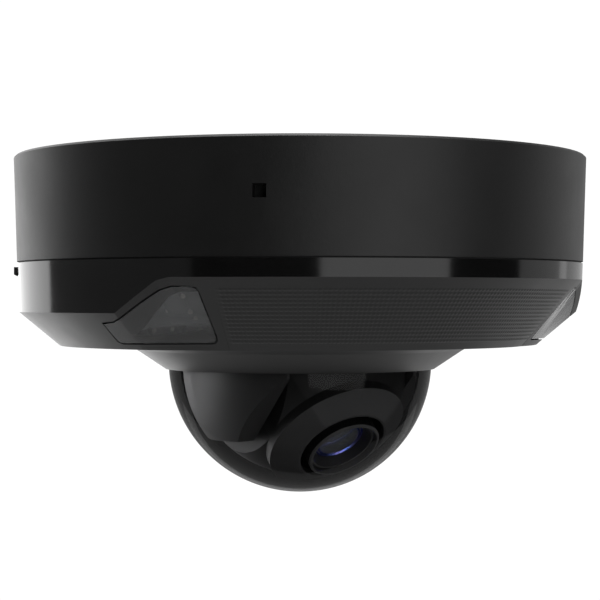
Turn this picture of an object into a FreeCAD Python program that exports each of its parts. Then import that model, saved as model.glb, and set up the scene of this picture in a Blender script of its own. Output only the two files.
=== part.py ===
import FreeCAD, Part
import math
import os
import re
import Sketcher

# A ceiling-mounted mini dome camera.  Millimetres.  +Z points up into the ceiling,
# the origin is the centre of the ceiling face and the front of the camera is -Y.
# Three nested frames carry the moving parts: the pan frame turns about Z, the tilt
# frame about the yoke's pivots, and the optics frame about the lens axis.

SIZES = {
    # outer housing and cover, measured down from the ceiling
    "housing_radius": 55.0, "rim_chamfer": 0.4, "wall": 2.2, "floor_thickness": 2.5,
    "seam_radius": 54.4, "seam_depth": 20.0, "seam_gap": 0.3,
    "band_radius": 54.0, "band_depth": 29.5,
    "bevel_radius": 46.3, "underside_depth": 35.9, "skin": 2.0,
    "collar_root_radius": 33.4, "collar_shoulder_radius": 31.5, "collar_shoulder_drop": 1.0,
    "collar_lip_radius": 26.1, "collar_depth": 40.5, "collar_bore": 25.65,
    "spigot_radius": 51.8, "spigot_wall": 1.4, "spigot_height": 2.5,
    # front panel: a steeper cone between the two infrared windows
    "panel_top_radius": 54.1, "panel_top_depth": 23.6, "panel_foot_radius": 43.5,
    "panel_half_angle": 44.0, "panel_fade_angle": 53.5, "panel_end_angle": 63.8,
    "panel_skin_top_depth": 22.4, "panel_skin_foot_radius": 42.0,
    # infrared windows: outline on a plane facing their own azimuth
    "window_angle": 58.0, "window_gap": 0.25, "window_start": 43.6, "window_length": 18.0,
    # dome
    "dome_radius": 25.5, "dome_wall": 1.7, "dome_centre_depth": 38.9,
    "dome_flange_radius": 28.4, "dome_seat_depth": 36.8, "dome_flange_thickness": 1.6,
    "dome_seat_radius": 28.6, "gasket_thickness": 0.6,
    "retainer_inner": 24.0, "retainer_outer": 33.5, "retainer_thickness": 1.5,
    "retainer_screw_circle": 31.2,
    # ceiling interface
    "gasket_inner": 48.5, "gasket_outer": 51.5, "gasket_depth": 1.2,
    "mount_circle": 45.0, "mount_hole": 2.25,
    "cable_east": -18.0, "cable_north": 34.0, "grommet_radius": 7.0, "cable_bore": 3.2,
    # cover fixing
    "post_circle": 38.5, "post_radius": 3.6, "post_depth": 28.0,
    "screw_radius": 1.5, "screw_clearance": 0.1, "screw_head": 2.9,
    "counterbore_radius": 3.3, "counterbore_depth": 32.9, "boss_radius": 4.7,
    # microphone
    "mic_angle": 35.0, "mic_depth": 9.3, "mic_width": 2.3,
    # main board
    "board_radius": 44.0, "board_top_depth": 6.5, "board_thickness": 1.6,
    "board_post_radius": 3.0, "board_screw": 1.25,
    # pan bearing
    "plate_radius": 24.5, "plate_top_depth": 13.0, "plate_thickness": 1.5,
    "hub_radius": 11.93, "hub_hole": 12.0, "hub_bore": 9.8, "hub_top_depth": 11.4,
    "platform_radius": 17.5, "platform_top_depth": 15.0, "platform_thickness": 3.0,
    "standoff_circle": 21.0, "standoff_radius": 2.6,
    # yoke and tilt pivots
    "pivot_depth": 40.0, "ear_inner": 14.0, "yoke_radius": 22.7,
    "ear_reach": 17.4, "ear_shoulder_drop": 1.6, "ear_front_foot": 5.6, "ear_back_foot": 11.0,
    "ear_drop": 13.4,
    "pivot_radius": 2.0, "pivot_clearance": 0.06, "pivot_reach": 18.0,
    "pan_rest": 6.0, "tilt_rest": 46.0,
    # camera head, measured along the lens axis from the pivot
    "drum_radius": 13.5, "drum_bore": 11.85, "drum_split": 4.0, "drum_back": 13.0,
    "ball_radius": 20.9, "ball_half_width": 13.4, "ball_wall": 1.6,
    "drum_front": 17.8, "face_radius": 8.8, "face_front": 20.2, "lens_hole": 8.4,
    # lens unit
    "holder_radius": 8.0, "flange_radius": 11.78, "thread_radius": 6.0,
    "barrel_radius": 7.05, "barrel_front": 21.2, "barrel_step": 12.5,
    "front_lens_radius": 6.25, "front_lens_back": 15.6,
    # infrared illuminators
    "lamp_angle": 56.0, "lamp_slope": 40.0, "lamp_circle": 43.35, "lamp_depth": 25.3,
    "lamp_width": 17.0, "lamp_height": 12.0,
    # cover pry rib
    "rib_angle": -117.5, "rib_width_angle": 17.0,
}

doc = FreeCAD.newDocument("dome_camera")
dims = doc.addObject("Spreadsheet::Sheet", "dims")
for row, (alias, size) in enumerate(SIZES.items(), start=1):
    dims.set(f"A{row}", alias)
    dims.set(f"B{row}", str(size))
    dims.setAlias(f"B{row}", alias)
doc.recompute()

parts = []
ORIGIN = FreeCAD.Vector(0, 0, 0)
UP = FreeCAD.Vector(0, 0, 1)
EAST = FreeCAD.Vector(1, 0, 0)


# ---------------------------------------------------------------- helpers

def expr(text):
    """Turn the sheet's own words in a formula into references to its cells."""
    return re.sub(r"[a-z_]+", lambda word: "dims." + word[0] if word[0] in SIZES else word[0], text)


def value(text):
    """The number that a formula comes to."""
    return float(dims.evalExpression(expr(text)))


def bind(thing, name, text):
    thing.setExpression(name, expr(text))


def put(thing, x="0", y="0", z="0"):
    bind(thing, "Placement.Base.x", x)
    bind(thing, "Placement.Base.y", y)
    bind(thing, "Placement.Base.z", z)
    return thing


def disc(radius, low, high, x="0", y="0"):
    thing = doc.addObject("Part::Cylinder", "disc")
    bind(thing, "Radius", radius)
    bind(thing, "Height", f"({high}) - ({low})")
    return put(thing, x, y, low)


def taper(low_radius, high_radius, low, high, x="0", y="0"):
    thing = doc.addObject("Part::Cone", "taper")
    bind(thing, "Radius1", low_radius)
    bind(thing, "Radius2", high_radius)
    bind(thing, "Height", f"({high}) - ({low})")
    return put(thing, x, y, low)


def ball(radius, z="0"):
    thing = doc.addObject("Part::Sphere", "ball")
    bind(thing, "Radius", radius)
    return put(thing, z=z)


def block(x_low, x_high, y_low, y_high, z_low, z_high):
    thing = doc.addObject("Part::Box", "block")
    bind(thing, "Length", f"({x_high}) - ({x_low})")
    bind(thing, "Width", f"({y_high}) - ({y_low})")
    bind(thing, "Height", f"({z_high}) - ({z_low})")
    return put(thing, x_low, y_low, z_low)


def cut(base, *tools):
    thing = doc.addObject("Part::Cut", "cut")
    thing.Base = base
    thing.Tool = tools[0] if len(tools) == 1 else fuse(*tools)
    return thing


def fuse(*pieces):
    thing = doc.addObject("Part::MultiFuse", "fuse")
    thing.Shapes = list(pieces)
    return thing


def join(base, tool):
    thing = doc.addObject("Part::Fuse", "join")
    thing.Base = base
    thing.Tool = tool
    return thing


def common(base, tool):
    thing = doc.addObject("Part::Common", "common")
    thing.Base = base
    thing.Tool = tool
    return thing


def group(*pieces):
    thing = doc.addObject("Part::Compound", "group")
    thing.Links = list(pieces)
    return thing


def framed(frame, *pieces):
    """Pieces stood together in a frame of their own."""
    thing = group(*pieces)
    thing.Placement = frame
    return thing


def tube(outer, inner, low, high, x="0", y="0"):
    return cut(disc(outer, low, high, x, y), disc(inner, f"({low}) - 1", f"({high}) + 1", x, y))


def solid_from(shape):
    """A piece whose shape is worked out in code from the sheet's sizes."""
    thing = doc.addObject("Part::Feature", "solid")
    thing.Shape = shape
    return thing


def origin_plane(body, role):
    return next(item for item in body.Origin.OriginFeatures if item.Role == role)


def outline(body, role, points, offset=0.0):
    """A closed straight-edged sketch whose every corner is held by two formulas."""
    sketch = body.newObject("Sketcher::SketchObject", "outline")
    sketch.AttachmentSupport = [(origin_plane(body, role), "")]
    sketch.MapMode = "FlatFace"
    sketch.AttachmentOffset = FreeCAD.Placement(FreeCAD.Vector(0, 0, offset), FreeCAD.Rotation())
    corners = [FreeCAD.Vector(value(x), value(y), 0) for x, y in points]
    for index, corner in enumerate(corners):
        sketch.addGeometry(Part.LineSegment(corner, corners[(index + 1) % len(corners)]), False)
    for index in range(len(corners)):
        sketch.addConstraint(Sketcher.Constraint("Coincident", index, 2, (index + 1) % len(corners), 1))
    for index, (x, y) in enumerate(points):
        for kind, text, size in (("DistanceX", x, corners[index].x), ("DistanceY", y, corners[index].y)):
            number = sketch.addConstraint(Sketcher.Constraint(kind, -1, 1, index, 1, size))
            sketch.setExpression(f"Constraints[{number}]", expr(text))
    return sketch


def turned(points, angle=360.0):
    """A profile of radius and height turned about Z, centred on +X when it is not whole."""
    body = doc.addObject("PartDesign::Body", "turned")
    sketch = outline(body, "XZ_Plane", points)
    turn = body.newObject("PartDesign::Revolution", "turn")
    turn.Profile = sketch
    turn.ReferenceAxis = (sketch, ["V_Axis"])
    turn.Angle = angle
    turn.Midplane = angle < 360.0
    return body


def padded(role, points, length, offset=0.0):
    """An outline on an origin plane, padded along that plane's normal."""
    body = doc.addObject("PartDesign::Body", "padded")
    sketch = outline(body, role, points, offset)
    pad = body.newObject("PartDesign::Pad", "pad")
    pad.Profile = sketch
    bind(pad, "Length", length)
    return body


def spin(thing, degrees):
    """Turn a piece about Z, keeping where it stands relative to the axis."""
    turn = FreeCAD.Placement(ORIGIN, FreeCAD.Rotation(UP, degrees))
    thing.Placement = turn.multiply(thing.Placement)
    return thing


def around(radius, angle):
    """The two formulas of a place on a circle."""
    return f"{radius} * cos({angle})", f"{radius} * sin({angle})"


def ring_of(make, radius, angles):
    """The same small piece at several places on one circle."""
    return [make(*around(radius, angle)) for angle in angles]


def part(label, thing, frame=None):
    """Name a finished sub-part and stand it in its frame."""
    if frame is not None and thing.ExpressionEngine:
        thing = framed(frame, thing)
    elif frame is not None:
        thing.Placement = frame
    thing.Label = label
    parts.append(thing)
    return thing


PIVOT = FreeCAD.Vector(0, 0, -value("pivot_depth"))
PAN_TURN = FreeCAD.Rotation(UP, value("pan_rest"))
LENS_TURN = FreeCAD.Rotation(EAST, 90 + value("tilt_rest"))
PAN_FRAME = FreeCAD.Placement(ORIGIN, PAN_TURN)
OPTICS_FRAME = FreeCAD.Placement(PIVOT, PAN_TURN.multiply(LENS_TURN))
SIDEWAYS = FreeCAD.Placement(ORIGIN, FreeCAD.Rotation(FreeCAD.Vector(0, 1, 0), 90))
PIVOT_FRAME = FreeCAD.Placement(PIVOT, SIDEWAYS.Rotation)

POST_ANGLES = (30, 150, 270)
BOARD_POSTS = ((-30, 12), (33, 8), (5, -27))
STANDOFF_ANGLES = (60, 180, 300)
MOUNT_ANGLES = (0, 180)
RETAINER_ANGLES = (45, 135, 225, 315)
BOARD_FACE = "-board_top_depth - board_thickness"
# Corners of an infrared window: distance from its middle toward the front, and height.
WINDOW_CORNERS = (
    (-9.7, -31.4), (-6.85, -31.15), (-4.95, -30.5), (0.3, -27.4), (3.35, -25.7), (5.6, -25.1),
    (9.0, -25.1), (9.75, -25.35), (9.95, -26.0), (9.45, -33.2), (9.2, -34.1), (8.6, -34.55),
    (-8.4, -34.75), (-9.3, -34.4),
)


# ---------------------------------------------------------------- fixed housing

def base_housing():
    shell = turned([
        ("0", "0"), ("gasket_inner", "0"), ("gasket_inner", "-gasket_depth"),
        ("gasket_outer", "-gasket_depth"), ("gasket_outer", "0"),
        ("housing_radius - rim_chamfer", "0"), ("housing_radius", "-rim_chamfer"),
        ("seam_radius", "-seam_depth"), ("seam_radius - wall", "-seam_depth"),
        ("seam_radius - wall", "-floor_thickness"), ("0", "-floor_thickness"),
    ])
    posts = ring_of(lambda x, y: disc("post_radius", "-post_depth", "-floor_thickness", x, y),
                    "post_circle", POST_ANGLES)
    board_posts = [disc("board_post_radius", "-board_top_depth", "-floor_thickness", str(x), str(y))
                   for x, y in BOARD_POSTS]
    post_holes = ring_of(lambda x, y: disc("screw_radius + screw_clearance", "-post_depth - 1",
                                           "-post_depth + 9", x, y), "post_circle", POST_ANGLES)
    board_holes = [disc("board_screw", "-board_top_depth - 1", "-floor_thickness", str(x), str(y))
                   for x, y in BOARD_POSTS]
    mount_holes = ring_of(lambda x, y: disc("mount_hole", "-floor_thickness - 1", "1", x, y),
                          "mount_circle", MOUNT_ANGLES)
    cable_hole = disc("grommet_radius", "-floor_thickness - 1", "1", "cable_east", "cable_north")
    mic_hole = block("-mic_width / 2", "mic_width / 2", "-housing_radius - 1", "-seam_radius + wall + 1",
                     "-mic_depth - mic_width / 2", "-mic_depth + mic_width / 2")
    mic_slot = framed(FreeCAD.Placement(ORIGIN, FreeCAD.Rotation(UP, -value("mic_angle"))), mic_hole)
    body = fuse(shell, *posts, *board_posts)
    part("base_housing", cut(body, *post_holes, *board_holes, *mount_holes, cable_hole, mic_slot))


def ceiling_gasket():
    part("ceiling_gasket", tube("gasket_outer", "gasket_inner", "-gasket_depth", "0"))


def cable_grommet():
    collar = disc("grommet_radius", "-floor_thickness", "0", "cable_east", "cable_north")
    flange = disc("grommet_radius + 1.6", "-floor_thickness - 1.2", "-floor_thickness",
                  "cable_east", "cable_north")
    nozzle = taper("cable_bore + 1.3", "cable_bore + 2.6", "-floor_thickness - 5", "-floor_thickness - 1.2",
                   "cable_east", "cable_north")
    bore = disc("cable_bore", "-floor_thickness - 6", "1", "cable_east", "cable_north")
    part("cable_grommet", cut(fuse(collar, flange, nozzle), bore))


def seam_gasket():
    part("seam_gasket", tube("seam_radius - 0.4", "seam_radius - wall + 0.2",
                             "-seam_depth - seam_gap", "-seam_depth"))


def microphone():
    frame = FreeCAD.Placement(ORIGIN, FreeCAD.Rotation(UP, -value("mic_angle")))
    lay = FreeCAD.Rotation(EAST, 90)
    inner_wall = value("seam_radius - wall")
    reach = FreeCAD.Vector(0, -inner_wall + 0.5, -value("mic_depth"))
    capsule = fuse(disc("2.3", "-3.6", "0"), disc("1.9", "-3.9", "-3.6"))
    part("microphone_capsule", capsule, frame.multiply(FreeCAD.Placement(reach, lay)))
    part("microphone_membrane", disc("2.4", "0", "0.4"), frame.multiply(FreeCAD.Placement(reach, lay)))


# ---------------------------------------------------------------- electronics

def main_board():
    blank = disc("board_radius", BOARD_FACE, "-board_top_depth")
    cable_well = block("-board_radius - 1", "6.5", "21", "board_radius + 1", "-10", "-5")
    post_gaps = ring_of(lambda x, y: disc("boss_radius", "-10", "-5", x, y), "post_circle", POST_ANGLES)
    mount_gaps = ring_of(lambda x, y: disc("6.5", "-10", "-5", x, y), "mount_circle", MOUNT_ANGLES)
    standoff_gaps = ring_of(lambda x, y: disc("standoff_radius + 0.5", "-10", "-5", x, y),
                            "standoff_circle", STANDOFF_ANGLES)
    screw_holes = [disc("board_screw + 0.1", "-10", "-5", str(x), str(y)) for x, y in BOARD_POSTS]
    part("main_board", cut(blank, cable_well, *post_gaps, *mount_gaps, *standoff_gaps, *screw_holes))


def board_screws():
    made = []
    for x, y in BOARD_POSTS:
        head = disc("2.3", f"{BOARD_FACE} - 1.5", BOARD_FACE, str(x), str(y))
        shank = disc("board_screw", BOARD_FACE, "-floor_thickness - 0.3", str(x), str(y))
        cross = block(f"{x} - 1.3", f"{x} + 1.3", f"{y} - 0.25", f"{y} + 0.25",
                      f"{BOARD_FACE} - 1.6", f"{BOARD_FACE} - 0.8")
        made.append(cut(fuse(head, shank), cross))
    part("board_screws", group(*made))


def on_board(x_low, x_high, y_low, y_high, height, lift="0"):
    """A block that stands on the lower, component side of the main board."""
    face = f"{BOARD_FACE} - {lift}"
    return block(str(x_low), str(x_high), str(y_low), str(y_high), f"{face} - {height}", face)


def board_components():
    part("processor_chip", on_board(-33, -18, -24, -9, 1.2))
    fins = [on_board(-33 + 3 * step, -31.8 + 3 * step, -24, -9, 2.0, "2.2") for step in range(5)]
    part("processor_heatsink", fuse(on_board(-33.2, -17.8, -24.2, -8.8, 1.0, "1.2"), *fins))
    part("power_transformer", fuse(on_board(27, 38, -17, -5, 8.0), on_board(26, 39, -15.5, -6.5, 1.4)))
    cans = [disc("3.2", f"{BOARD_FACE} - 10", BOARD_FACE, str(x), str(y))
            for x, y in ((29, -24), (22, -31), (13.5, -36))]
    part("board_capacitors", group(*cans))
    card_mouth = on_board(-15.5, -4.5, -36, -22.5, 0.9, "0.5")
    part("memory_card_slot", cut(on_board(-16.5, -3.5, -35, -21, 1.9), card_mouth))
    part("ribbon_connector", fuse(on_board(-5, 5, -20, -16, 0.6), on_board(-5, 5, -20, -16.8, 1.9)))


def ethernet_jack():
    case = on_board(8, 24, 24.5, 40.5, 13.4)
    mouth = on_board(7, 20, 26.6, 38.4, 7.6, "3.0")
    key_way = on_board(7, 20, 29.4, 35.6, 1.8, "10.5")
    part("ethernet_jack", cut(case, mouth, key_way))


def reset_switch():
    body = on_board(-41.5, -35.5, -15, -9, 3.0)
    well = disc("1.8", f"{BOARD_FACE} - 3.1", f"{BOARD_FACE} - 1.0", "-38.5", "-12")
    part("reset_switch_body", cut(body, well))
    part("reset_button", disc("1.7", f"{BOARD_FACE} - 4.2", f"{BOARD_FACE} - 1.7", "-38.5", "-12"))


def strip(points, width, thickness):
    """A flat band along a bent line in the YZ plane, mitred at its corners."""
    line = [FreeCAD.Vector(-width / 2, y, z) for y, z in points]
    sides = []
    for side in (0.5, -0.5):
        row = []
        for index, here in enumerate(line):
            before = (here - line[index - 1]).normalize() if index else None
            after = (line[index + 1] - here).normalize() if index + 1 < len(line) else None
            along = (before or after) + (after or before)
            along.normalize()
            across = FreeCAD.Vector(0, -along.z, along.y)
            leg = before or after
            mitre = 1.0 / max(0.3, leg.dot(along))
            row.append(here + across * (side * thickness * mitre))
        sides.append(row)
    loop = sides[0] + sides[1][::-1]
    return Part.Face(Part.makePolygon(loop + [loop[0]])).extrude(FreeCAD.Vector(width, 0, 0))


def sensor_ribbon():
    slope = math.radians(value("tilt_rest"))
    back = FreeCAD.Vector(0, math.cos(slope), math.sin(slope))
    entry = PIVOT + back * (value("drum_back") + 2.0)
    landing = PIVOT + back * 6.3
    board_level = value(BOARD_FACE) - 0.9
    route = [(-15.9, board_level), (-2.0, board_level), (0.6, board_level - 1.2), (1.6, board_level - 4.0),
             (2.0, -20.0), (5.5, -23.6), (entry.y - 0.6, entry.z + 1.0), (entry.y + 0.1, entry.z - 0.3),
             (landing.y, landing.z)]
    part("sensor_ribbon", solid_from(strip(route, 7.0, 0.25)), PAN_FRAME)


# ---------------------------------------------------------------- infrared lamps

def lamp_frame(side):
    """Origin on the lamp board's back, +Z out through the window, X along the board."""
    facing = FreeCAD.Rotation(UP, side * value("lamp_angle"))
    slope = FreeCAD.Rotation(EAST, 90 + value("lamp_slope"))
    seat = facing.multVec(FreeCAD.Vector(0, -value("lamp_circle"), -value("lamp_depth")))
    return FreeCAD.Placement(seat, facing.multiply(slope))


def infrared_lamp(name, side):
    frame = lamp_frame(side)
    half = "lamp_width / 2"
    tall = "lamp_height / 2"
    part(f"ir_board_{name}", block(f"-{half}", half, f"-{tall}", tall, "-1", "0"), frame)
    spots = (-5.4, 0.0, 5.4)
    emitters = []
    for spot in spots:
        chip = block(f"{spot} - 1.75", f"{spot} + 1.75", "-1.75", "1.75", "0", "0.9")
        emitters.append(fuse(chip, disc("1.3", "0.9", "1.1", str(spot))))
    part(f"ir_emitters_{name}", group(*emitters), frame)
    optic = block(f"-{half}", half, "-3.9", "4.4", "1.3", "3.9")
    pockets = [taper("2.3", "1.7", "1.2", "2.6", str(spot)) for spot in spots]
    part(f"ir_optic_{name}", cut(optic, *pockets), frame)
    plate = block(f"-{half}", half, f"-{tall}", f"{tall} - 1", "-2.4", "-1")
    foot = block("-5", "5", "-46.6", "-44.6", "-19.9", "-floor_thickness")
    upright = FreeCAD.Placement(ORIGIN, FreeCAD.Rotation(UP, side * value("lamp_angle")))
    part(f"ir_bracket_{name}", fuse(framed(frame, plate), framed(upright, foot)))


# ---------------------------------------------------------------- pan bearing

def pan_bearing():
    low = "-plate_top_depth - plate_thickness"
    holes = ring_of(lambda x, y: disc("screw_radius + 0.1", f"{low} - 1", "-plate_top_depth + 1", x, y),
                    "standoff_circle", STANDOFF_ANGLES)
    plate = disc("plate_radius", low, "-plate_top_depth")
    bore = disc("hub_hole", f"{low} - 1", "-plate_top_depth + 1")
    part("pan_bearing_plate", cut(plate, bore, *holes))
    part("pan_friction_washer", tube("platform_radius - 0.5", "hub_hole + 0.2", "-platform_top_depth", low))

    def standoff(x, y):
        prism = doc.addObject("Part::Prism", "standoff")
        prism.Polygon = 6
        bind(prism, "Circumradius", "standoff_radius")
        bind(prism, "Height", "plate_top_depth - floor_thickness")
        put(prism, x, y, "-plate_top_depth")
        return cut(prism, disc("screw_radius", "-plate_top_depth - 1", "-plate_top_depth + 5", x, y))

    part("chassis_standoffs", group(*ring_of(standoff, "standoff_circle", STANDOFF_ANGLES)))

    def screw(x, y):
        shank = disc("screw_radius", low, "-plate_top_depth + 4.5", x, y)
        head = disc("2.6", f"{low} - 1.4", low, x, y)
        return cut(fuse(shank, head), disc("1.0", f"{low} - 1.5", f"{low} - 0.6", x, y))

    part("chassis_screws", group(*ring_of(screw, "standoff_circle", STANDOFF_ANGLES)))


def pan_yoke():
    platform_low = "-platform_top_depth - platform_thickness"
    hub = disc("hub_radius", "-platform_top_depth", "-hub_top_depth")
    platform = disc("platform_radius", platform_low, "-platform_top_depth")
    bore = disc("hub_bore", f"{platform_low} - 1", "-hub_top_depth + 1")
    blank = fuse(ball("yoke_radius", "-pivot_depth"),
                 disc("yoke_radius", "-pivot_depth", f"{platform_low} + 1"))
    cheek = padded("YZ_Plane", [
        ("-ear_reach", f"{platform_low} + 1"), ("-ear_reach", "-pivot_depth - ear_shoulder_drop"),
        ("-ear_front_foot", "-pivot_depth - ear_drop"), ("ear_back_foot", "-pivot_depth - ear_drop"),
        ("ear_reach", "-pivot_depth - ear_shoulder_drop"), ("ear_reach", f"{platform_low} + 1"),
    ], "2 * yoke_radius", -value("yoke_radius"))
    slot = block("-ear_inner", "ear_inner", "-30", "30", "-70", platform_low)
    pivot_hole = disc("pivot_radius + pivot_clearance", "-pivot_reach - 0.5", "pivot_reach + 0.5")
    ears = cut(common(blank, cheek), slot, framed(PIVOT_FRAME, pivot_hole))
    part("pan_yoke", cut(fuse(hub, platform, ears), bore), PAN_FRAME)
    part("pan_retaining_ring", tube("15", "hub_radius", "-hub_top_depth - 1.2", "-hub_top_depth"), PAN_FRAME)


# ---------------------------------------------------------------- camera head

def ball_slice(radius, half_width, low, high):
    """The flat-sided ball, or the hollow in it, between two planes across the lens axis."""
    slab = block(f"-({half_width})", half_width, f"-({radius}) - 1", f"{radius} + 1", low, high)
    return common(ball(radius), slab)


def head_front_shell():
    """The front of a flat-sided ball, hollow from behind, around the face the lens looks out of."""
    face = turned([
        ("0", "drum_split"), ("drum_radius", "drum_split"), ("drum_radius", "drum_front"),
        ("face_radius", "face_front"), ("0", "face_front"),
    ])
    face_hollow = turned([
        ("0", "drum_split - 1"), ("drum_bore", "drum_split - 1"), ("drum_bore", "drum_front - 0.8"),
        ("lens_hole", "face_front - 1.2"), ("lens_hole", "face_front + 1"), ("0", "face_front + 1"),
    ])
    front = join(face, ball_slice("ball_radius", "ball_half_width", "drum_split", "drum_front - 1.5"))
    lobes = ball_slice("ball_radius - ball_wall", "ball_half_width - ball_wall",
                       "drum_split - 1", "drum_front - 3")
    ball_hollow = cut(lobes, disc("drum_radius", "drum_split - 2", "drum_front - 2"))
    part("head_front_shell", cut(cut(front, face_hollow), ball_hollow), OPTICS_FRAME)


def head_rear_shell():
    """The drum behind the ball: it holds the pivots, the lens unit and the ribbon's way in."""
    cup = turned([
        ("0", "-drum_back"), ("drum_radius - 1.8", "-drum_back"), ("drum_radius", "-drum_back + 1.8"),
        ("drum_radius", "drum_split"), ("drum_bore", "drum_split"), ("drum_bore", "-1.7"),
        ("drum_bore - 1.2", "-1.7"), ("drum_bore - 1.2", "-2.9"), ("drum_bore", "-2.9"),
        ("drum_bore", "-drum_back + 1.4"), ("0", "-drum_back + 1.4"),
    ])
    slot = block("-4.2", "4.2", "-1.6", "1.6", "-drum_back - 1", "-drum_back + 2")
    sockets = fuse(disc("pivot_radius", "drum_bore - 1", "drum_radius + 1"),
                   disc("pivot_radius", "-drum_radius - 1", "-drum_bore + 1"))
    sockets.Placement = SIDEWAYS
    part("head_rear_shell", cut(cup, slot, sockets), OPTICS_FRAME)
    part("lens_unit_retaining_ring", tube("drum_bore", "drum_bore - 1.6", "-7.4", "-6.4"), OPTICS_FRAME)


def tilt_pivots():
    pins = []
    washers = []
    for side in (-1, 1):
        def along(low, high, radius):
            ends = (low, high) if side > 0 else (f"-({high})", f"-({low})")
            return disc(radius, *ends)
        pins.append(along("drum_bore", "pivot_reach", "pivot_radius"))
        washer = along("drum_radius + 0.05", "ear_inner - 0.05", "4.5")
        washers.append(cut(washer, along("drum_radius - 1", "ear_inner + 1", "pivot_radius + 0.05")))
    across = OPTICS_FRAME.multiply(SIDEWAYS)
    part("tilt_pivot_pins", group(*pins), across)
    part("tilt_friction_washers", group(*washers), across)


# ---------------------------------------------------------------- lens unit

def lens_unit():
    sleeve = tube("holder_radius", "thread_radius + 0.05", "-4.8", "8")
    flange = tube("flange_radius", "holder_radius - 0.5", "-4.8", "-3.3")
    holes = [disc("0.8", "-6", "-2", str(x)) for x in (-9.8, 9.8)]
    part("lens_holder", cut(fuse(sleeve, flange), *holes), OPTICS_FRAME)
    board = disc("flange_radius - 0.5", "-6", "-4.8")
    board_holes = [disc("0.85", "-7", "-4", str(x)) for x in (-9.8, 9.8)]
    part("sensor_board", cut(board, *board_holes), OPTICS_FRAME)
    screws = []
    for x in ("-9.8", "9.8"):
        screws.append(fuse(disc("0.8", "-6", "-3.3", x), disc("1.3", "-6.35", "-6", x)))
    part("sensor_board_screws", group(*screws), OPTICS_FRAME)
    part("image_sensor", fuse(block("-4", "4", "-3.5", "3.5", "-4.8", "-4.0"),
                              block("-3.4", "3.4", "-2.9", "2.9", "-4.0", "-3.6")), OPTICS_FRAME)
    part("infrared_cut_filter", disc("thread_radius", "-1.6", "-1.0"), OPTICS_FRAME)
    part("lens_barrel", turned([
        ("4.6", "0.2"), ("thread_radius", "0.2"), ("thread_radius", "barrel_step"),
        ("barrel_radius", "barrel_step + 0.6"), ("barrel_radius", "barrel_front - 0.3"),
        ("barrel_radius - 0.3", "barrel_front"), ("front_lens_radius + 0.25", "barrel_front"),
        ("front_lens_radius + 0.05", "barrel_front - 0.9"),
        ("front_lens_radius + 0.05", "front_lens_back - 0.1"),
        ("4.6", "front_lens_back - 0.1"),
    ]), OPTICS_FRAME)
    crown = common(ball("9.5", "10.1"), disc("front_lens_radius", "front_lens_back", "20"))
    part("front_lens_element", crown, OPTICS_FRAME)
    part("lens_retaining_ring", turned([
        ("5.25", "18.2"), ("front_lens_radius + 0.03", "17.7"), ("front_lens_radius + 0.03", "20.2"),
        ("5.9", "20.2"),
    ]), OPTICS_FRAME)
    part("rear_lens_element", common(ball("8", "9"), disc("4.55", "1.1", "4.2")), OPTICS_FRAME)


# ---------------------------------------------------------------- cover

def panel_end(side):
    """The space cut away where the front panel fades into the housing's bevel."""
    fade = value("panel_fade_angle")
    end = value("panel_end_angle")
    start = value("panel_half_angle") - 0.5
    sections = []
    for step in range(9):
        angle = start + (end + 1.7 - start) * step / 8
        blend = max(0.0, (angle - fade) / (end - fade))
        depth = value("panel_top_depth") + blend * value("band_depth - panel_top_depth")
        slide = (angle - start) / (end - start)
        foot = value("panel_foot_radius") + slide * value("bevel_radius - panel_foot_radius")
        head = FreeCAD.Vector(value("panel_top_radius"), 0, -depth)
        toe = FreeCAD.Vector(foot, 0, -value("underside_depth"))
        slope = (head - toe).normalize()
        top = head + slope * 4
        bottom = toe - slope * 4
        far = value("housing_radius") + 6
        loop = [top, bottom, FreeCAD.Vector(far, 0, bottom.z), FreeCAD.Vector(far, 0, top.z)]
        wire = Part.makePolygon(loop + [loop[0]])
        wire.rotate(ORIGIN, UP, -90 + side * angle)
        sections.append(wire)
    return Part.makeLoft(sections, True, True)


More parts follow.
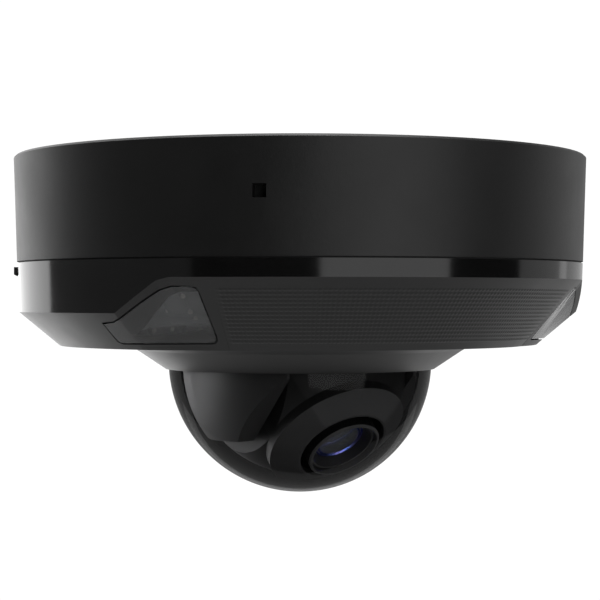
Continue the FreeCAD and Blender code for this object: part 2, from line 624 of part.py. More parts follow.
def cover_wall():
    """The whole moulding before its windows are cut out."""
    shell = turned([
        ("spigot_radius", "-seam_depth - seam_gap"), ("seam_radius - 0.05", "-seam_depth - seam_gap"),
        ("band_radius", "-band_depth"), ("bevel_radius", "-underside_depth"),
        ("collar_root_radius", "-underside_depth"),
        ("collar_shoulder_radius", "-underside_depth - collar_shoulder_drop"),
        ("collar_lip_radius", "-collar_depth"), ("collar_bore", "-collar_depth"),
        ("collar_bore", "-dome_seat_depth"), ("dome_seat_radius", "-dome_seat_depth"),
        ("dome_seat_radius", "-underside_depth + skin"),
        ("bevel_radius - 0.8 * skin", "-underside_depth + skin"),
        ("spigot_radius", "-band_depth + 0.45 * skin"), ("spigot_radius", "-seam_depth - 3.4"),
        ("spigot_radius - spigot_wall", "-seam_depth - 2"),
        ("spigot_radius - spigot_wall", "-seam_depth + spigot_height"),
        ("spigot_radius", "-seam_depth + spigot_height"),
    ])
    panel_skin = turned([
        ("spigot_radius + 0.1", "-panel_skin_top_depth"), ("spigot_radius + 0.1", "-band_depth"),
        ("bevel_radius - 1", "-underside_depth + 1"), ("panel_skin_foot_radius", "-underside_depth + 1"),
        ("panel_skin_foot_radius", "-underside_depth + skin"),
    ], 144.0)
    spin(panel_skin, -90)
    slope = "(panel_top_radius - panel_foot_radius) / (underside_depth - panel_top_depth)"
    panel_space = turned([
        (f"panel_top_radius + 3 * {slope}", "-panel_top_depth + 3"),
        (f"panel_foot_radius - 3 * {slope}", "-underside_depth - 3"),
        ("housing_radius + 6", "-underside_depth - 3"), ("housing_radius + 6", "-panel_top_depth + 3"),
    ], 88.0)
    spin(panel_space, -90)
    ends = [solid_from(panel_end(side)) for side in (-1, 1)]
    rib = turned([
        ("seam_radius - 1.5", "-seam_depth - 1"), ("seam_radius + 0.55", "-seam_depth - 1"),
        ("seam_radius + 0.55", "-seam_depth - 2.4"), ("seam_radius - 1.5", "-seam_depth - 3.6"),
    ], value("rib_width_angle"))
    spin(rib, value("rib_angle") - 90)
    bosses = ring_of(lambda x, y: disc("boss_radius", "-underside_depth + 1", "-post_depth - seam_gap", x, y),
                     "post_circle", POST_ANGLES)
    holes = ring_of(lambda x, y: fuse(disc("screw_radius + 0.15", "-underside_depth", "-20", x, y),
                                      disc("counterbore_radius", "-underside_depth - 1",
                                           "-counterbore_depth", x, y)), "post_circle", POST_ANGLES)
    pilots = ring_of(lambda x, y: disc("1", "-35.4", "-30", x, y), "retainer_screw_circle", RETAINER_ANGLES)
    return cut(fuse(shell, panel_skin, rib, *bosses), panel_space, *ends, *holes, *pilots)


def window_prism(side, gap):
    """A prism through the cover wall with the window's outline, its corners set out by the gap."""
    points = []
    for index, (along, height) in enumerate(WINDOW_CORNERS):
        last, after = WINDOW_CORNERS[index - 1], WINDOW_CORNERS[(index + 1) % len(WINDOW_CORNERS)]
        arriving = FreeCAD.Vector(last[1] - height, along - last[0], 0).normalize()
        leaving = FreeCAD.Vector(height - after[1], after[0] - along, 0).normalize()
        spread = (arriving + leaving) * (1 / (1 + arriving.dot(leaving)))
        points.append((f"{side} * ({along} + {spread.x:.4f} * {gap})", f"{height} + {spread.y:.4f} * {gap}"))
    prism = padded("XZ_Plane", points, "window_length", value("window_start"))
    return spin(prism, -side * value("window_angle"))


def cover():
    wall = cover_wall()
    openings = [window_prism(side, "window_gap") for side in (1, -1)]
    part("cover_shell", cut(wall, *openings))
    for name, side in (("left", 1), ("right", -1)):
        part(f"ir_window_{name}", common(wall, window_prism(side, "0")))


def cover_screws():
    def screw(x, y):
        shank = disc("screw_radius", "-counterbore_depth", "-post_depth + 7", x, y)
        head = disc("screw_head", "-counterbore_depth - 2", "-counterbore_depth", x, y)
        prism = doc.addObject("Part::Prism", "socket")
        prism.Polygon = 6
        prism.Circumradius = 1.2
        prism.Height = 2
        put(prism, x, y, "-counterbore_depth - 2.8")
        return cut(fuse(shank, head), prism)
    part("cover_screws", group(*ring_of(screw, "post_circle", POST_ANGLES)))


def dome():
    level = "-dome_centre_depth"
    flange_top = "-dome_seat_depth + dome_flange_thickness"
    outer = common(ball("dome_radius", level), disc("dome_radius + 1", f"{level} - dome_radius - 1", level))
    neck = disc("dome_radius", level, flange_top)
    flange = disc("dome_flange_radius", "-dome_seat_depth", flange_top)
    hollow = fuse(ball("dome_radius - dome_wall", level),
                  disc("dome_radius - dome_wall", level, f"{flange_top} + 1"))
    part("dome_bubble", cut(fuse(outer, neck, flange), hollow))
    gasket_top = f"{flange_top} + gasket_thickness"
    part("dome_gasket", tube("dome_flange_radius", "dome_radius", flange_top, gasket_top))
    inner_face = "-underside_depth + skin"
    lip = disc("dome_flange_radius", gasket_top, inner_face)
    ring = disc("retainer_outer", inner_face, f"{inner_face} + retainer_thickness")
    bore = disc("retainer_inner", "-40", "-20")
    holes = ring_of(lambda x, y: disc("1.1", "-36", "-30", x, y), "retainer_screw_circle", RETAINER_ANGLES)
    part("dome_retaining_ring", cut(fuse(lip, ring), bore, *holes))

    def screw(x, y):
        seat = f"{inner_face} + retainer_thickness"
        shank = disc("1", "-35.3", seat, x, y)
        head = disc("1.9", seat, f"{seat} + 1.2", x, y)
        return cut(fuse(shank, head), disc("0.8", f"{seat} + 0.6", f"{seat} + 2", x, y))
    part("dome_ring_screws", group(*ring_of(screw, "retainer_screw_circle", RETAINER_ANGLES)))


# ---------------------------------------------------------------- build and write

base_housing()
ceiling_gasket()
cable_grommet()
seam_gasket()
microphone()
main_board()
board_screws()
board_components()
ethernet_jack()
reset_switch()
sensor_ribbon()
infrared_lamp("left", -1)
infrared_lamp("right", 1)
pan_bearing()
pan_yoke()
head_front_shell()
head_rear_shell()
tilt_pivots()
lens_unit()
cover()
cover_screws()
dome()
doc.recompute()

failed = [item.Name for item in doc.Objects if {"Invalid", "Error"} & set(item.State)]
if failed:
    raise RuntimeError(f"these objects failed: {failed}")
os.makedirs("parts", exist_ok=True)
for item in parts:
    if item.Shape.isNull() or not item.Shape.isValid():
        raise RuntimeError(f"{item.Label} has no sound shape")
for item in parts:
    item.Shape.exportStep(f"parts/{item.Label}.step")
    solids = len(item.Shape.Solids)
    print(f"{item.Label}: {solids} solid(s), {item.Shape.Volume:.1f} mm3")
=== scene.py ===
"""Dome security camera: finishes, fine surface detail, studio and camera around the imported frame."""

import math
import random

import bpy
from mathutils import Matrix, Vector


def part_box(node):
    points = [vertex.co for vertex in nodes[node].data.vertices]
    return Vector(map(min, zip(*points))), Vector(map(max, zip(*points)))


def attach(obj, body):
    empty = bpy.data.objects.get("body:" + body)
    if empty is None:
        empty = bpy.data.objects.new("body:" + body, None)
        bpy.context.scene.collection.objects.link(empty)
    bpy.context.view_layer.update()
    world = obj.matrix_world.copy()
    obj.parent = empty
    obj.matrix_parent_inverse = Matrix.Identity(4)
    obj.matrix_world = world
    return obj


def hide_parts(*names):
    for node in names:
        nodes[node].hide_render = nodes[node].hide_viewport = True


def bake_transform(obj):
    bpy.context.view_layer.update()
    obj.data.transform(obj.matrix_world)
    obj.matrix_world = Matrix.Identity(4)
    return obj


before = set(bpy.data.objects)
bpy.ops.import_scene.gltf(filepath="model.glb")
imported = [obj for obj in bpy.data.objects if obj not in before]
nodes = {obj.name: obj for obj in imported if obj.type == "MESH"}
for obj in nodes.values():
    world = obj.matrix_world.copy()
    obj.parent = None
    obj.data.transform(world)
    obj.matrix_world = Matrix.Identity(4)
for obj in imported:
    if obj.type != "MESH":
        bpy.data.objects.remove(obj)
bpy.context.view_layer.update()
random.seed(11)

MM = 0.001
WORLD_UP = Vector((0, 0, 1))


# ---------------------------------------------------------------- node helpers

class Finish:
    """A material being built: its node tree, its main shader and short ways to add nodes."""

    def __init__(self, name):
        self.material = bpy.data.materials.new(name)
        self.material.use_nodes = True
        self.tree = self.material.node_tree
        self.shader = self.tree.nodes["Principled BSDF"]
        self.output = self.tree.nodes["Material Output"]
        self.place = self.add("ShaderNodeTexCoord").outputs["Object"]
        self.height = None

    def add(self, kind, **settings):
        node = self.tree.nodes.new(kind)
        for key, content in settings.items():
            setattr(node, key, content)
        return node

    def join(self, source, target):
        self.tree.links.new(source, target)

    def set(self, **constants):
        for key, content in constants.items():
            self.shader.inputs[SOCKETS[key]].default_value = content
        return self

    def stretched(self, stretch):
        mapping = self.add("ShaderNodeMapping")
        self.join(self.place, mapping.inputs["Vector"])
        mapping.inputs["Scale"].default_value = stretch
        return mapping.outputs["Vector"]

    def noise(self, per_metre, detail=3.0, rough=0.5, stretch=None):
        node = self.add("ShaderNodeTexNoise")
        self.join(self.stretched(stretch) if stretch else self.place, node.inputs["Vector"])
        node.inputs["Scale"].default_value = per_metre
        node.inputs["Detail"].default_value = detail
        node.inputs["Roughness"].default_value = rough
        return node.outputs["Fac"]

    def cells(self, per_metre):
        node = self.add("ShaderNodeTexVoronoi")
        self.join(self.place, node.inputs["Vector"])
        node.inputs["Scale"].default_value = per_metre
        return node.outputs["Distance"]

    def spread(self, source, low, high, from_low=0.3, from_high=0.7):
        node = self.add("ShaderNodeMapRange")
        self.join(source, node.inputs["Value"])
        limits = {"From Min": from_low, "From Max": from_high, "To Min": low, "To Max": high}
        for key, content in limits.items():
            node.inputs[key].default_value = content
        return node.outputs["Result"]

    def ramp(self, source, stops):
        node = self.add("ShaderNodeValToRGB")
        self.join(source, node.inputs["Fac"])
        elements = node.color_ramp.elements
        elements[0].position, elements[0].color = stops[0][0], (*stops[0][1], 1)
        elements[1].position, elements[1].color = stops[-1][0], (*stops[-1][1], 1)
        for position, colour in stops[1:-1]:
            elements.new(position).color = (*colour, 1)
        return node.outputs["Color"]

    def colour(self, source, stops):
        self.join(self.ramp(source, stops), self.shader.inputs["Base Color"])

    def rough(self, source, low, high, from_low=0.3, from_high=0.7):
        self.join(self.spread(source, low, high, from_low, from_high), self.shader.inputs["Roughness"])

    def bump(self, source, depth, strength=1.0):
        """Adds a relief of this depth in metres on top of any relief already there."""
        node = self.add("ShaderNodeBump")
        node.inputs["Strength"].default_value = strength
        node.inputs["Distance"].default_value = depth
        self.join(source, node.inputs["Height"])
        if self.height is not None:
            self.join(self.height, node.inputs["Normal"])
        self.height = node.outputs["Normal"]
        self.join(self.height, self.shader.inputs["Normal"])

    def lit_through(self):
        """Lets lamps reach what is behind clear plastic or glass."""
        path = self.add("ShaderNodeLightPath")
        clear = self.add("ShaderNodeBsdfTransparent")
        clear.inputs["Color"].default_value = self.shader.inputs["Base Color"].default_value
        mix = self.add("ShaderNodeMixShader")
        self.join(path.outputs["Is Shadow Ray"], mix.inputs[0])
        self.join(self.shader.outputs[0], mix.inputs[1])
        self.join(clear.outputs[0], mix.inputs[2])
        self.join(mix.outputs[0], self.output.inputs["Surface"])


# How the camera head stands at rest, and the height of its tilt pivot in millimetres.
PAN_REST = math.radians(6)
TILT_REST = math.radians(46)
PIVOT_Z = -40.0
LENS_AXIS = Vector((math.sin(PAN_REST) * math.cos(TILT_REST), -math.cos(PAN_REST) * math.cos(TILT_REST),
                    -math.sin(TILT_REST)))

# Short names for the shader sockets that finishes set to a constant.
SOCKETS = {
    "metallic": "Metallic", "ior": "IOR", "coat": "Coat Weight", "coat_rough": "Coat Roughness",
    "transmission": "Transmission Weight", "specular": "Specular IOR Level", "roughness": "Roughness",
    "film": "Thin Film Thickness", "film_ior": "Thin Film IOR",
}

# Density of the broad, faint patches that melt flow leaves in a moulding, per metre.
FLOW_PATCHES = 70


def grey(level, warmth=0.0):
    """A neutral colour, or a slightly warm one."""
    return (level * (1 + warmth), level, level * (1 - warmth))


def moulded(name, dark, light, rough, grain, depth, specular=0.5, warmth=0.0):
    """Moulded plastic: fine spark-eroded grain, faint flow patches and soft handling marks."""
    finish = Finish(name)
    fine = finish.noise(grain, detail=2.0)
    flow = finish.noise(FLOW_PATCHES, detail=4.0, rough=0.6)
    finish.colour(flow, [(0.3, grey(dark, warmth)), (0.7, grey(light, warmth))])
    finish.rough(flow, rough[0], rough[1])
    finish.bump(fine, depth)
    finish.bump(finish.noise(grain * 0.22, detail=3.0), depth * 1.2)
    finish.set(specular=specular)
    return finish


def metal(name, dark, light, rough, brushed=(1, 1, 1), grain=2200, depth=0.000006):
    """Bare or plated metal with fine directional marks."""
    finish = Finish(name)
    marks = finish.noise(grain, detail=5.0, rough=0.65, stretch=brushed)
    cloud = finish.noise(260, detail=4.0)
    finish.colour(cloud, [(0.3, dark), (0.7, light)])
    finish.rough(marks, rough[0], rough[1])
    finish.bump(marks, depth)
    finish.set(metallic=1.0)
    return finish


# ---------------------------------------------------------------- finishes

def cover_finish():
    """Polished on the upright band and finely grained on every sloping or level face."""
    finish = Finish("cover_black")
    normal = finish.add("ShaderNodeTexCoord").outputs["Normal"]
    parts = finish.add("ShaderNodeSeparateXYZ")
    finish.join(normal, parts.inputs[0])
    size = finish.add("ShaderNodeMath", operation="ABSOLUTE")
    finish.join(parts.outputs["Z"], size.inputs[0])
    satin = finish.spread(size.outputs[0], 0.0, 1.0, 0.12, 0.3)
    flow = finish.noise(FLOW_PATCHES, detail=4.0, rough=0.6)
    finish.colour(flow, [(0.3, grey(0.004)), (0.7, grey(0.006))])
    polished = finish.spread(flow, 0.09, 0.13)
    grained = finish.spread(flow, 0.38, 0.44)
    blend = finish.add("ShaderNodeMix", data_type="FLOAT")
    finish.join(satin, blend.inputs["Factor"])
    finish.join(polished, blend.inputs["A"])
    finish.join(grained, blend.inputs["B"])
    finish.join(blend.outputs["Result"], finish.shader.inputs["Roughness"])
    grain = finish.add("ShaderNodeMath", operation="MULTIPLY")
    finish.join(finish.noise(5200, detail=2.0), grain.inputs[0])
    finish.join(satin, grain.inputs[1])
    finish.bump(grain.outputs[0], 0.000010)
    finish.bump(finish.noise(160, detail=2.0), 0.000004)
    return finish


finishes = {
    "housing": moulded("housing_black", 0.0045, 0.0065, (0.44, 0.50), 5200, 0.000010),
    "cover": cover_finish(),
}


def clear(name, tint, ior, rough, film=0.0, transmission=1.0):
    """Clear plastic or glass with a trace of haze, and a thin coating where film gives its thickness."""
    finish = Finish(name)
    finish.shader.inputs["Base Color"].default_value = (*tint, 1)
    finish.set(transmission=transmission, ior=ior)
    haze = finish.noise(90, detail=5.0, rough=0.62)
    finish.rough(haze, rough[0], rough[1], 0.35, 0.75)
    finish.bump(finish.noise(60, detail=0.0), 0.000004)
    if film:
        finish.set(film=film, film_ior=1.38)
    finish.lit_through()
    return finish


# Optical index of acrylic, and the far lower one that keeps the head's outline steady behind the dome.
ACRYLIC_INDEX = 1.49
DOME_INDEX = 1.2
finishes["dome"] = clear("dome_polycarbonate", (0.97, 0.97, 0.975), DOME_INDEX, (0.0, 0.012))
finishes["window"] = clear("window_acrylic", (0.82, 0.83, 0.84), ACRYLIC_INDEX, (0.005, 0.02),
                           transmission=0.98)
finishes["optic"] = clear("optic_acrylic", (0.80, 0.80, 0.80), ACRYLIC_INDEX, (0.06, 0.12),
                          transmission=0.60)
finishes["lens_glass"] = clear("coated_lens_glass", (0.90, 0.93, 0.98), 1.62, (0.055, 0.075), film=380.0,
                               transmission=0.96)
finishes["seal"] = moulded("black_rubber", 0.010, 0.016, (0.62, 0.78), 3800, 0.000014, specular=0.35)


def circuit_board():
    """Green-black solder mask with copper tracks showing through and a fine weave below."""
    finish = Finish("solder_mask")
    tracks = finish.add("ShaderNodeTexBrick", offset=0.37, squash=0.6, squash_frequency=3)
    finish.join(finish.place, tracks.inputs["Vector"])
    tracks.inputs["Scale"].default_value = 210
    tracks.inputs["Mortar Size"].default_value = 0.012
    tracks.inputs["Brick Width"].default_value = 0.9
    tracks.inputs["Row Height"].default_value = 0.22
    tracks.inputs["Color1"].default_value = (0.006, 0.040, 0.020, 1)
    tracks.inputs["Color2"].default_value = (0.008, 0.052, 0.026, 1)
    tracks.inputs["Mortar"].default_value = (0.022, 0.125, 0.055, 1)
    finish.join(tracks.outputs["Color"], finish.shader.inputs["Base Color"])
    weave = finish.noise(2600, detail=2.0, stretch=(1, 0.3, 1))
    finish.rough(weave, 0.28, 0.42)
    finish.bump(tracks.outputs["Fac"], 0.00003, strength=0.6)
    finish.bump(weave, 0.000006)
    finish.set(coat=0.35, coat_rough=0.12)
    return finish


finishes["circuit_board"] = circuit_board()
finishes["chip"] = moulded("epoxy_black", 0.014, 0.022, (0.50, 0.62), 6000, 0.00001)
finishes["connector"] = moulded("ivory_nylon", 0.52, 0.60, (0.42, 0.52), 4200, 0.00001, warmth=0.06)
finishes["button"] = moulded("button_acetal", 0.30, 0.36, (0.36, 0.46), 4200, 0.00001)
finishes["slip_washer"] = moulded("slip_washer_acetal", 0.40, 0.48, (0.36, 0.46), 4200, 0.00001,
                                  warmth=0.03)
finishes["yoke"] = moulded("yoke_black", 0.050, 0.062, (0.40, 0.48), 5600, 0.000008)


def head():
    """Black ball and face with painted light and shade: paler on the round face and underneath, where the
    low lamps light them, and darker up the sides, where the collar shades them.
    """
    finish = Finish("head_painted_light_and_shade")
    normal = finish.add("ShaderNodeTexCoord").outputs["Normal"]
    along = finish.add("ShaderNodeVectorMath", operation="DOT_PRODUCT")
    finish.join(normal, along.inputs[0])
    along.inputs[1].default_value = LENS_AXIS
    parts = finish.add("ShaderNodeSeparateXYZ")
    finish.join(normal, parts.inputs[0])
    # Painted light and shade: the colour is paler on faces that look along the lens and on faces that
    # look down, and darker elsewhere.
    painted_light = finish.add("ShaderNodeMath", operation="MAXIMUM")
    finish.join(finish.spread(along.outputs["Value"], 0.0, 1.0, 0.80, 0.87), painted_light.inputs[0])
    finish.join(finish.spread(parts.outputs["Z"], 1.0, 0.0, -0.80, -0.15), painted_light.inputs[1])
    finish.colour(painted_light.outputs[0], [(0.0, grey(0.007)), (1.0, grey(0.080))])
    finish.rough(finish.noise(FLOW_PATCHES, detail=4.0), 0.44, 0.52)
    finish.bump(finish.noise(5600, detail=2.0), 0.000008)
    finish.bump(finish.noise(1230), 0.00001)
    return finish


finishes["head"] = head()


def barrel():
    """Anodised lens barrel with painted light and shade: coloured paler on faces across the lens axis,
    and near black down its sides, where shade falls.
    """
    finish = Finish("barrel_anodised_painted_shade")
    along = finish.add("ShaderNodeVectorMath", operation="DOT_PRODUCT")
    finish.join(finish.add("ShaderNodeTexCoord").outputs["Normal"], along.inputs[0])
    along.inputs[1].default_value = LENS_AXIS
    # Painted light and shade: the colour follows how squarely each face looks along the lens axis.
    front = finish.spread(along.outputs["Value"], 0.0, 1.0, 0.15, 0.6)
    finish.colour(front, [(0.0, grey(0.003)), (0.5, grey(0.03)), (1.0, grey(0.075))])
    fine = finish.noise(7000, detail=2.0)
    finish.rough(fine, 0.26, 0.36)
    finish.bump(fine, 0.000005)
    return finish


finishes["barrel"] = barrel()


def coating():
    """The blue and violet sheen of an anti-reflection coating at the edge of an element."""
    finish = Finish("lens_edge_coating")
    cloud = finish.noise(420, detail=2.0)
    finish.colour(cloud, [(0.35, (0.16, 0.28, 0.95)), (0.65, (0.40, 0.34, 0.92))])
    finish.rough(finish.noise(900), 0.14, 0.22)
    finish.bump(finish.noise(3000), 0.000002)
    finish.set(metallic=1.0)
    return finish


finishes["coating"] = coating()
finishes["heatsink"] = metal("aluminium_extruded", (0.62, 0.63, 0.64), (0.72, 0.73, 0.74), (0.28, 0.44),
                             brushed=(1, 8, 1))
finishes["tin_shell"] = metal("tinned_steel", (0.60, 0.59, 0.57), (0.74, 0.73, 0.71), (0.18, 0.34),
                              brushed=(6, 1, 1))
finishes["bracket"] = moulded("bracket_black", 0.016, 0.022, (0.42, 0.52), 5000, 0.00001)
finishes["plate_steel"] = metal("zinc_plate", (0.46, 0.46, 0.45), (0.58, 0.58, 0.57), (0.26, 0.42))
finishes["brass"] = metal("brass", (0.62, 0.44, 0.18), (0.78, 0.58, 0.26), (0.22, 0.36))
finishes["screw_steel"] = metal("nickel_screw", (0.50, 0.49, 0.47), (0.64, 0.63, 0.60), (0.20, 0.36))


def ribbon():
    """Amber film with copper lines along it."""
    finish = Finish("polyimide_ribbon")
    lines = finish.add("ShaderNodeTexWave", bands_direction="X")
    finish.join(finish.place, lines.inputs["Vector"])
    lines.inputs["Scale"].default_value = 620
    lines.inputs["Distortion"].default_value = 0.0
    finish.colour(lines.outputs["Fac"], [(0.42, (0.30, 0.10, 0.012)), (0.58, (0.52, 0.24, 0.05))])
    finish.rough(finish.noise(900), 0.22, 0.36)
    finish.bump(lines.outputs["Fac"], 0.00002)
    finish.set(coat=0.5, coat_rough=0.1)
    return finish


finishes["ribbon"] = ribbon()


def emitter():
    """Infrared emitter: pale ceramic with a clear yellow-grey lens over a dark die."""
    finish = Finish("infrared_emitter")
    spots = finish.noise(900, detail=2.0)
    finish.colour(spots, [(0.35, (0.55, 0.50, 0.34)), (0.65, (0.74, 0.70, 0.52))])
    finish.rough(spots, 0.14, 0.26)
    finish.bump(spots, 0.00001)
    finish.set(coat=0.6, coat_rough=0.06)
    return finish


finishes["emitter"] = emitter()


def sensor():
    """Dark iridescent silicon with a gridded surface."""
    finish = Finish("image_sensor_glass")
    cells = finish.cells(9000)
    finish.colour(cells, [(0.0, (0.010, 0.016, 0.030)), (0.6, (0.035, 0.030, 0.060)),
                          (1.0, (0.02, 0.05, 0.05))])
    finish.rough(finish.noise(700), 0.06, 0.16)
    finish.bump(cells, 0.000004)
    finish.set(coat=1.0, coat_rough=0.03)
    return finish


finishes["sensor"] = sensor()


def slot_of(node):
    """The record's material slot that the pack gave this node."""
    return node.data.materials[0].name.split(".")[0]


for name, node in nodes.items():
    finish = finishes[slot_of(node)]
    for index in range(len(node.material_slots)):
        node.material_slots[index].link = "OBJECT"
        node.material_slots[index].material = finish.material


# ---------------------------------------------------------------- fine detail

def piece(name, points, faces, body, finish, smooth=True):
    """A new mesh piece, in the frame's metres, that rides on a body when one is given."""
    mesh = bpy.data.meshes.new(name)
    mesh.from_pydata([tuple(p) for p in points], [], faces)
    mesh.materials.append(finish.material)
    if smooth:
        mesh.polygons.foreach_set("use_smooth", [True] * len(mesh.polygons))
    mesh.update()
    thing = bpy.data.objects.new(name, mesh)
    bpy.context.scene.collection.objects.link(thing)
    if body:
        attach(thing, body)
    return thing


# The textured front panel lies on the cone between these two circles (radius, height).
PANEL_TOP = Vector((54.1 * MM, -23.6 * MM))
PANEL_FOOT = Vector((43.5 * MM, -35.9 * MM))
PANEL_HALF = math.radians(43.9)
PANEL_RADIUS = 0.0488
PANEL_TOP_MARGIN = 0.0021
PANEL_FOOT_MARGIN = 0.0012
# The relief fades out over these lengths at its sides and at its top and foot, and its floor is sunk.
SIDE_FADE = 0.001
END_FADE = 0.0003
FLOOR_SINK = 0.00002
RIB_PITCH = 0.00090
DOT_PITCH = 0.00078
RIB_HEIGHT = 0.00014
DIMPLE_DEPTH = 0.95
STEPS_PER_RIB = 7
STEPS_PER_DOT = 4


def wave(distance, pitch):
    """Rises from 0 to 1 and back once in each pitch, highest at whole pitches."""
    return 0.5 + 0.5 * math.cos(2 * math.pi * distance / pitch)


def panel_relief():
    """Moulded ribs across the front panel, each one dimpled into a row of fine dots."""
    slope = PANEL_FOOT - PANEL_TOP
    length = slope.length
    along = slope.normalized()
    outward = Vector((-along.y, along.x)) * (1 if along.y < 0 else -1)
    first, last = PANEL_TOP_MARGIN, length - PANEL_FOOT_MARGIN
    rows = int((last - first) / RIB_PITCH) * STEPS_PER_RIB
    reach = PANEL_HALF * PANEL_RADIUS
    columns = int(2 * reach / DOT_PITCH) * STEPS_PER_DOT
    points, faces = [], []
    for row in range(rows + 1):
        down = first + (last - first) * row / rows
        rib = wave(down - first - RIB_PITCH / 2, RIB_PITCH) ** 0.8
        for column in range(columns + 1):
            side = -reach + 2 * reach * column / columns
            angle = side / PANEL_RADIUS
            dimple = 1 - DIMPLE_DEPTH * wave(side, DOT_PITCH) ** 2
            edge = min(1.0, (reach - abs(side)) / SIDE_FADE, min(down - first, last - down) / END_FADE)
            lift = RIB_HEIGHT * rib * dimple * max(0.0, edge) - FLOOR_SINK
            spot = PANEL_TOP + along * down + outward * lift
            points.append((spot.x * math.sin(angle), -spot.x * math.cos(angle), spot.y))
    wide = columns + 1
    for row in range(rows):
        for column in range(columns):
            a = row * wide + column
            faces.append((a, a + wide, a + wide + 1, a + 1))
    piece("cover_panel_relief", points, faces, "cover", finishes["cover"])


panel_relief()


def lathe(name, profile, turns, body, finish):
    """A smooth turned piece about the camera's axis from (radius, height) points, closed at its poles."""
    points, faces, rings = [], [], []
    for radius, height in profile:
        start = len(points)
        if radius < 1e-7:
            points.append((0, 0, height))
            rings.append([start] * turns)
            continue
        for turn in range(turns):
            angle = 2 * math.pi * turn / turns
            points.append((radius * math.cos(angle), radius * math.sin(angle), height))
        rings.append(list(range(start, start + turns)))
    for low, high in zip(rings, rings[1:]):
        for turn in range(turns):
            after = (turn + 1) % turns
            face = [low[turn], low[after], high[after], high[turn]]
            faces.append([v for i, v in enumerate(face) if v not in face[:i]])
    return piece(name, points, faces, body, finish)


DOME_LOW, DOME_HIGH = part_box("dome_bubble")
DOME_RADIUS = 25.5 * MM
DOME_WALL = 1.7 * MM
DOME_LEVEL = DOME_LOW.z + DOME_RADIUS
DOME_FLANGE = 28.4 * MM
DOME_SEAT = DOME_HIGH.z - 1.6 * MM
DOME_CORNER = 0.25 * MM
DOME_TURNS = 240
QUARTER_STEPS = 80


def dome():
    """The clear bubble: two smooth hemispheres, a straight neck and its clamped flange."""
    inner_radius = DOME_RADIUS - DOME_WALL
    quarter = [math.radians(90 * i / QUARTER_STEPS) for i in range(QUARTER_STEPS + 1)]
    outer = [(DOME_RADIUS * math.sin(a), DOME_LEVEL - DOME_RADIUS * math.cos(a)) for a in quarter]
    inner = [(inner_radius * math.sin(a), DOME_LEVEL - inner_radius * math.cos(a)) for a in quarter[::-1]]
    corner = DOME_CORNER
    profile = outer + [
        (DOME_RADIUS, DOME_SEAT - corner), (DOME_RADIUS + corner, DOME_SEAT),
        (DOME_FLANGE - corner, DOME_SEAT), (DOME_FLANGE, DOME_SEAT + corner),
        (DOME_FLANGE, DOME_HIGH.z - corner), (DOME_FLANGE - corner, DOME_HIGH.z),
        (inner_radius + corner, DOME_HIGH.z), (inner_radius, DOME_HIGH.z - corner),
    ] + inner
    bubble = lathe("dome_clear", profile, DOME_TURNS, "cover", finishes["dome"])
    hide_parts("dome_bubble")
    return bubble


bubble = dome()

# The infrared lamps: how far each is turned to its side of the front and tipped down, in degrees, and
# its seat and its sizes in millimetres.
LAMP_TURN = 56
LAMP_LEAN = 130
LAMP_SEAT_Y, LAMP_SEAT_Z = -43.35, -25.3
LAMP_SPOTS = (-5.4, 0.0, 5.4)
PLATE_HALF, PLATE_LOW, PLATE_HIGH = 8.5, -3.9, 4.4
PLATE_BACK, PLATE_FACE, PLATE_RIM = 1.3, 2.9, 0.55
LENS_RADIUS, LENS_RISE = 2.5, 0.95
RIPPLE_REACH, RIPPLE_HEIGHT = 3.6, 0.05
POCKET_RADIUS, POCKET_DEPTH, POCKET_WALL = 2.3, 1.3, 0.6
LEDGE_BACK, LEDGE_STEP, LEDGE_TOP = 0.15, 1.5, 2.7


def lamp_place(side):
    """Stands a point given in an infrared lamp's own frame: along the board, up it, and out of it."""
    facing = Matrix.Rotation(math.radians(LAMP_TURN * side), 4, "Z")
    seat = facing @ Vector((0, LAMP_SEAT_Y * MM, LAMP_SEAT_Z * MM))
    return Matrix.Translation(seat) @ facing @ Matrix.Rotation(math.radians(LAMP_LEAN), 4, "X")


def lamp_optic(name, side):
    """The clear lens plate of one lamp: a rim, three domes over the emitters and a pocket under each."""
    place = lamp_place(side)
    across, up = 69, 35

    def top(x, y):
        reach = min(math.hypot(x - spot, y) for spot in LAMP_SPOTS)
        dome_rise = LENS_RISE * math.sqrt(max(0.0, 1 - (reach / LENS_RADIUS) ** 2))
        ripple = RIPPLE_HEIGHT * math.cos(reach * 9) if LENS_RADIUS < reach < RIPPLE_REACH else 0.0
        rim = 1.0 if min(PLATE_HALF - abs(x), y - PLATE_LOW, PLATE_HIGH - y) < PLATE_RIM else 0.0
        return PLATE_FACE + max(dome_rise + ripple, rim)

    def under(x, y):
        reach = min(math.hypot(x - spot, y) for spot in LAMP_SPOTS)
        return PLATE_BACK + POCKET_DEPTH * min(1.0, max(0.0, (POCKET_RADIUS - reach) / POCKET_WALL))

    points, faces = [], []
    for level in (under, top):
        for i in range(across):
            for j in range(up):
                x = -PLATE_HALF + 2 * PLATE_HALF * i / (across - 1)
                y = PLATE_LOW + (PLATE_HIGH - PLATE_LOW) * j / (up - 1)
                points.append(place @ (Vector((x, y, level(x, y))) * MM))
    upper = across * up
    for i in range(across - 1):
        for j in range(up - 1):
            a = i * up + j
            faces.append((a, a + 1, a + up + 1, a + up))
            faces.append((upper + a, upper + a + up, upper + a + up + 1, upper + a + 1))
    border = ([i * up for i in range(across)] + [(across - 1) * up + j for j in range(1, up)]
              + [i * up + up - 1 for i in range(across - 2, -1, -1)] + list(range(up - 2, 0, -1)))
    for a, b in zip(border, border[1:] + border[:1]):
        faces.append((a, b, upper + b, upper + a))
    thing = piece(f"ir_optic_{name}_clear", points, faces, "root", finishes["optic"],
                  smooth=False)
    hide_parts(f"ir_optic_{name}")
    return thing


